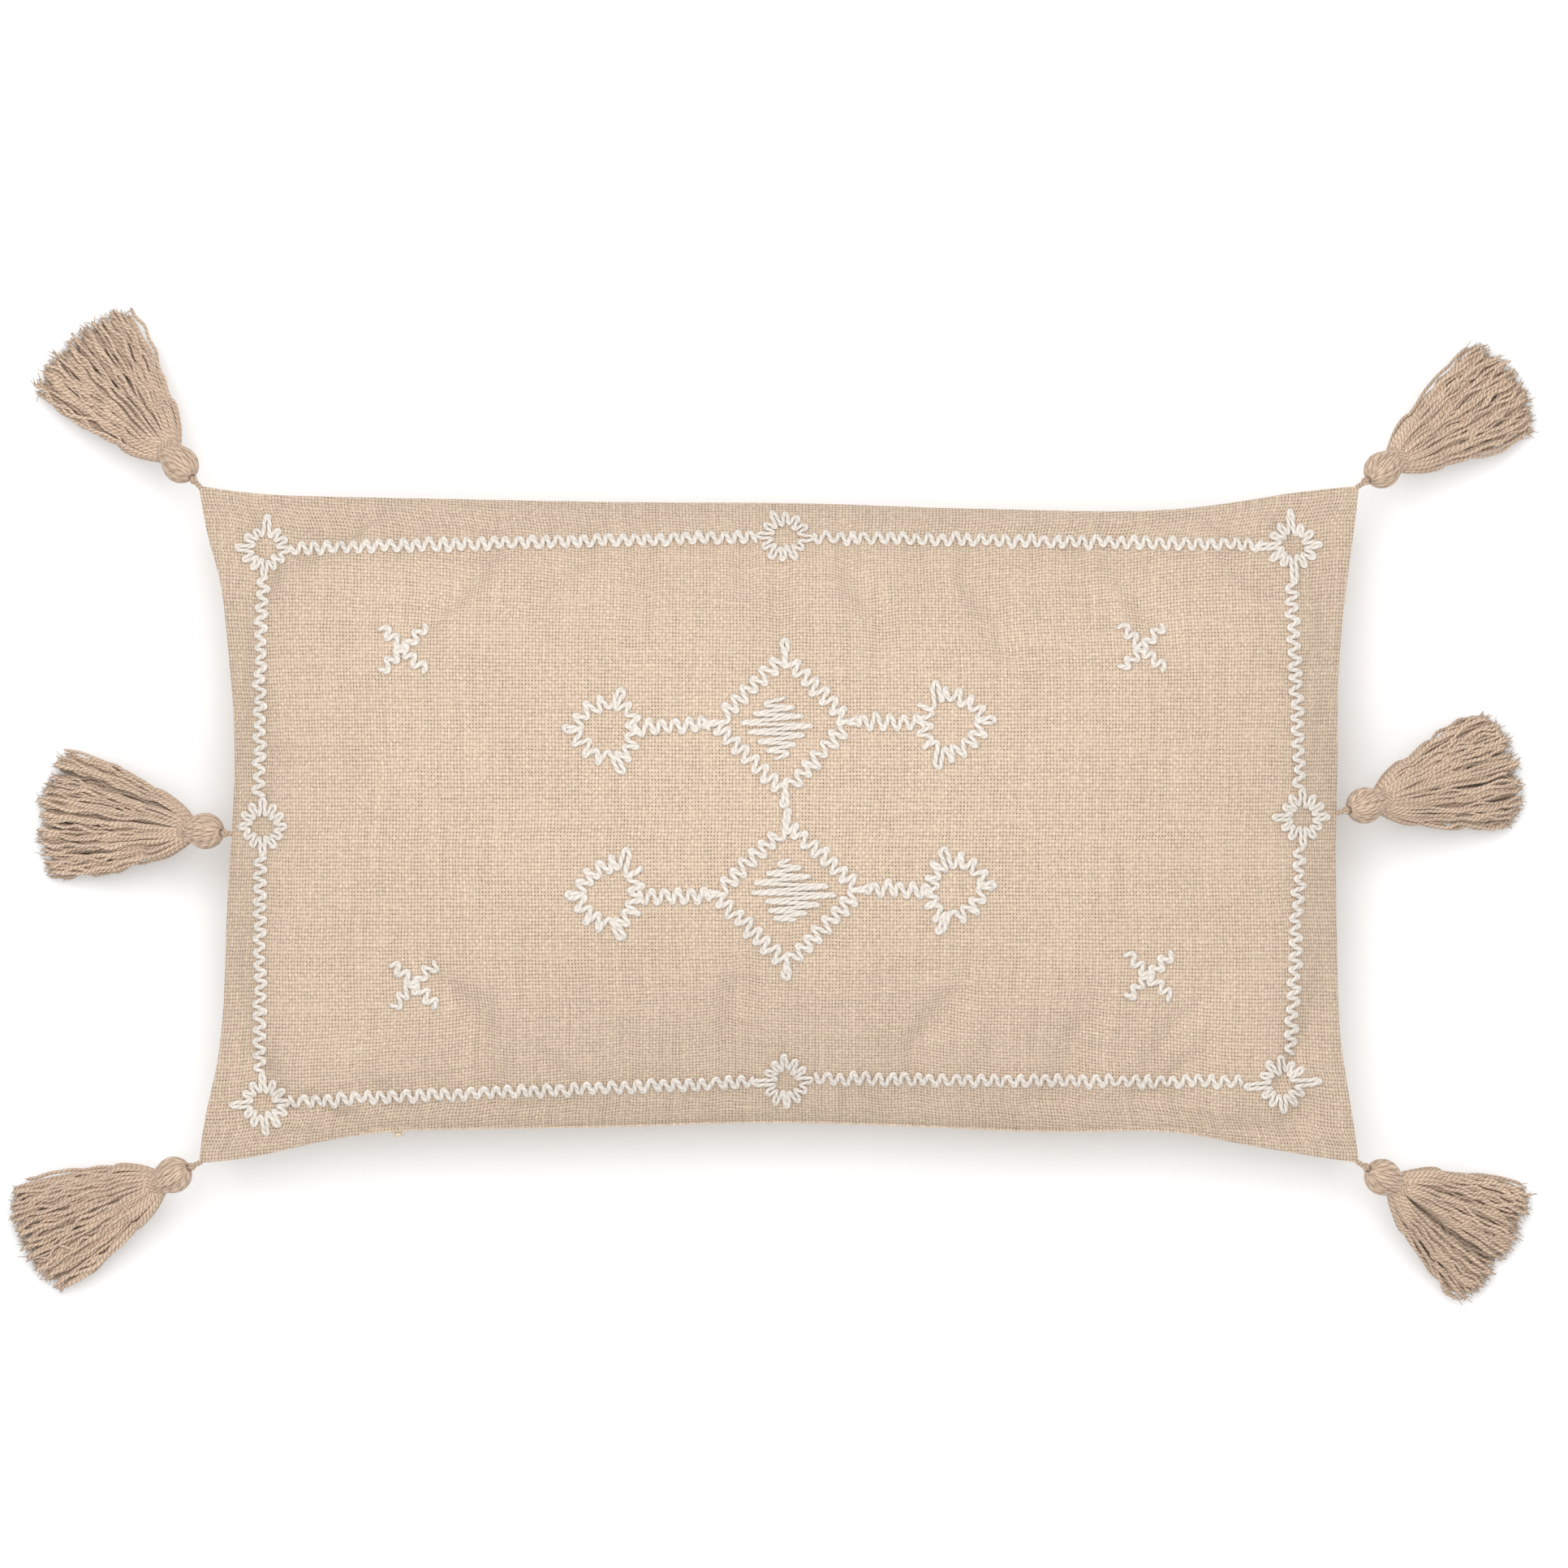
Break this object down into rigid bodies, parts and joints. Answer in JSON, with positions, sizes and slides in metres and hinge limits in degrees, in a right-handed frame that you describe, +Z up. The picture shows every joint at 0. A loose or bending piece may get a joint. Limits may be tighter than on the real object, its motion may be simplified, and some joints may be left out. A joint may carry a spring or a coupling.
{
  "type": "throw pillow",
  "caption": "Rectangular stuffed throw pillow in coarse woven cotton with zigzag yarn embroidery, yarn tassels at the corners and short sides and a concealed zip.",
  "frame": {"origin": "middle of the flat underside that the pillow lies on, midway between the four corner tips", "axes": "+X along the long sides, +Y across them, +Z up out of the embroidered front"},
  "size_m": [0.6453, 0.4201, 0.1134],
  "materials": {
    "cotton_cover": "coarse plain-weave natural cotton, matt",
    "embroidery_yarn": "off-white twisted cotton yarn, matt",
    "tassel_yarn": "natural tan twisted cotton yarn, matt",
    "casing": "fine plain off-white lining cloth",
    "fibre": "white polyester fibre filling",
    "zip_tape": "woven polyester tape, beige",
    "zip_coil": "beige nylon coil",
    "zip_metal": "beige enamelled zinc, satin"
  },
  "bodies": {
    "cushion": {"front_panel": "cotton_cover", "back_panel": "cotton_cover", "insert_front": "casing", "insert_back": "casing", "fibre_fill": "fibre", "zip_tape_front": "zip_tape", "zip_coil_front": "zip_coil", "zip_tape_back": "zip_tape", "zip_coil_back": "zip_coil", "zip_stop_left": "zip_metal", "zip_stop_right": "zip_metal", "rosette_top_left": "embroidery_yarn", "rosette_top_right": "embroidery_yarn", "rosette_bottom_left": "embroidery_yarn", "rosette_bottom_right": "embroidery_yarn", "border_top": "embroidery_yarn", "border_bottom": "embroidery_yarn", "border_left": "embroidery_yarn", "border_right": "embroidery_yarn", "diamond_upper": "embroidery_yarn", "satin_upper": "embroidery_yarn", "arrow_upper_left": "embroidery_yarn", "arrow_upper_right": "embroidery_yarn", "diamond_lower": "embroidery_yarn", "satin_lower": "embroidery_yarn", "arrow_lower_left": "embroidery_yarn", "arrow_lower_right": "embroidery_yarn", "cross_upper_left": "embroidery_yarn", "cross_upper_right": "embroidery_yarn", "cross_lower_left": "embroidery_yarn", "cross_lower_right": "embroidery_yarn"},
    "zip_slider": {"zip_slider": "zip_metal"},
    "zip_pull": {"zip_pull": "zip_metal"},
    "tassel_loop_top_left": {"tassel_loop_top_left": "tassel_yarn"},
    "tassel_top_left": {"tassel_head_top_left": "tassel_yarn", "tassel_binding_top_left": "tassel_yarn", "tassel_skirt_top_left": "tassel_yarn"},
    "tassel_loop_top_right": {"tassel_loop_top_right": "tassel_yarn"},
    "tassel_top_right": {"tassel_head_top_right": "tassel_yarn", "tassel_binding_top_right": "tassel_yarn", "tassel_skirt_top_right": "tassel_yarn"},
    "tassel_loop_middle_left": {"tassel_loop_middle_left": "tassel_yarn"},
    "tassel_middle_left": {"tassel_head_middle_left": "tassel_yarn", "tassel_binding_middle_left": "tassel_yarn", "tassel_skirt_middle_left": "tassel_yarn"},
    "tassel_loop_middle_right": {"tassel_loop_middle_right": "tassel_yarn"},
    "tassel_middle_right": {"tassel_head_middle_right": "tassel_yarn", "tassel_binding_middle_right": "tassel_yarn", "tassel_skirt_middle_right": "tassel_yarn"},
    "tassel_loop_bottom_left": {"tassel_loop_bottom_left": "tassel_yarn"},
    "tassel_bottom_left": {"tassel_head_bottom_left": "tassel_yarn", "tassel_binding_bottom_left": "tassel_yarn", "tassel_skirt_bottom_left": "tassel_yarn"},
    "tassel_loop_bottom_right": {"tassel_loop_bottom_right": "tassel_yarn"},
    "tassel_bottom_right": {"tassel_head_bottom_right": "tassel_yarn", "tassel_binding_bottom_right": "tassel_yarn", "tassel_skirt_bottom_right": "tassel_yarn"}
  },
  "joints": [
    {"name": "zip_slide", "type": "slide", "parent": "cushion", "child": "zip_slider", "axis": [1, 0, 0], "range_m": [0, 0.3214]},
    {"name": "zip_pull_swing", "type": "hinge", "parent": "zip_slider", "child": "zip_pull", "pos_m": [-0.1607, -0.1308, 0.05], "axis": [-1, 0, 0], "range_deg": [0, 150]},
    {"name": "swivel_top_left", "type": "hinge", "parent": "cushion", "child": "tassel_loop_top_left", "pos_m": [-0.24566, 0.14375, 0.044], "axis": [0, 0, 1], "range_deg": [-75, 80]},
    {"name": "swing_top_left", "type": "hinge", "parent": "tassel_loop_top_left", "child": "tassel_top_left", "pos_m": [-0.24725, 0.14555, 0.044], "axis": [0.749, 0.6626, 0], "range_deg": [0, 100]},
    {"name": "swivel_top_right", "type": "hinge", "parent": "cushion", "child": "tassel_loop_top_right", "pos_m": [0.24582, 0.14357, 0.044], "axis": [0, 0, 1], "range_deg": [-75, 80]},
    {"name": "swing_top_right", "type": "hinge", "parent": "tassel_loop_top_right", "child": "tassel_top_right", "pos_m": [0.2478, 0.14493, 0.044], "axis": [0.5664, -0.8241, 0], "range_deg": [0, 100]},
    {"name": "swivel_middle_left", "type": "hinge", "parent": "cushion", "child": "tassel_loop_middle_left", "pos_m": [-0.2315, -0.0039, 0.05], "axis": [0, 0, 1], "range_deg": [-40, 50]},
    {"name": "swing_middle_left", "type": "hinge", "parent": "tassel_loop_middle_left", "child": "tassel_middle_left", "pos_m": [-0.23388, -0.00364, 0.05], "axis": [0.1045, 0.9945, 0], "range_deg": [0, 100]},
    {"name": "swivel_middle_right", "type": "hinge", "parent": "cushion", "child": "tassel_loop_middle_right", "pos_m": [0.23697, 0.00526, 0.05], "axis": [0, 0, 1], "range_deg": [-55, 38]},
    {"name": "swing_middle_right", "type": "hinge", "parent": "tassel_loop_middle_right", "child": "tassel_middle_right", "pos_m": [0.23928, 0.00588, 0.05], "axis": [0.2588, -0.9659, 0], "range_deg": [0, 100]},
    {"name": "swivel_bottom_left", "type": "hinge", "parent": "cushion", "child": "tassel_loop_bottom_left", "pos_m": [-0.24591, -0.14342, 0.044], "axis": [0, 0, 1], "range_deg": [-62, 83]},
    {"name": "swing_bottom_left", "type": "hinge", "parent": "tassel_loop_bottom_left", "child": "tassel_bottom_left", "pos_m": [-0.24808, -0.14444, 0.044], "axis": [-0.4226, 0.9063, 0], "range_deg": [0, 100]},
    {"name": "swivel_bottom_right", "type": "hinge", "parent": "cushion", "child": "tassel_loop_bottom_right", "pos_m": [0.24586, -0.14352, 0.044], "axis": [0, 0, 1], "range_deg": [-85, 66]},
    {"name": "swing_bottom_right", "type": "hinge", "parent": "tassel_loop_bottom_right", "child": "tassel_bottom_right", "pos_m": [0.24791, -0.14475, 0.044], "axis": [-0.515, -0.8572, 0], "range_deg": [0, 100]}
  ]
}
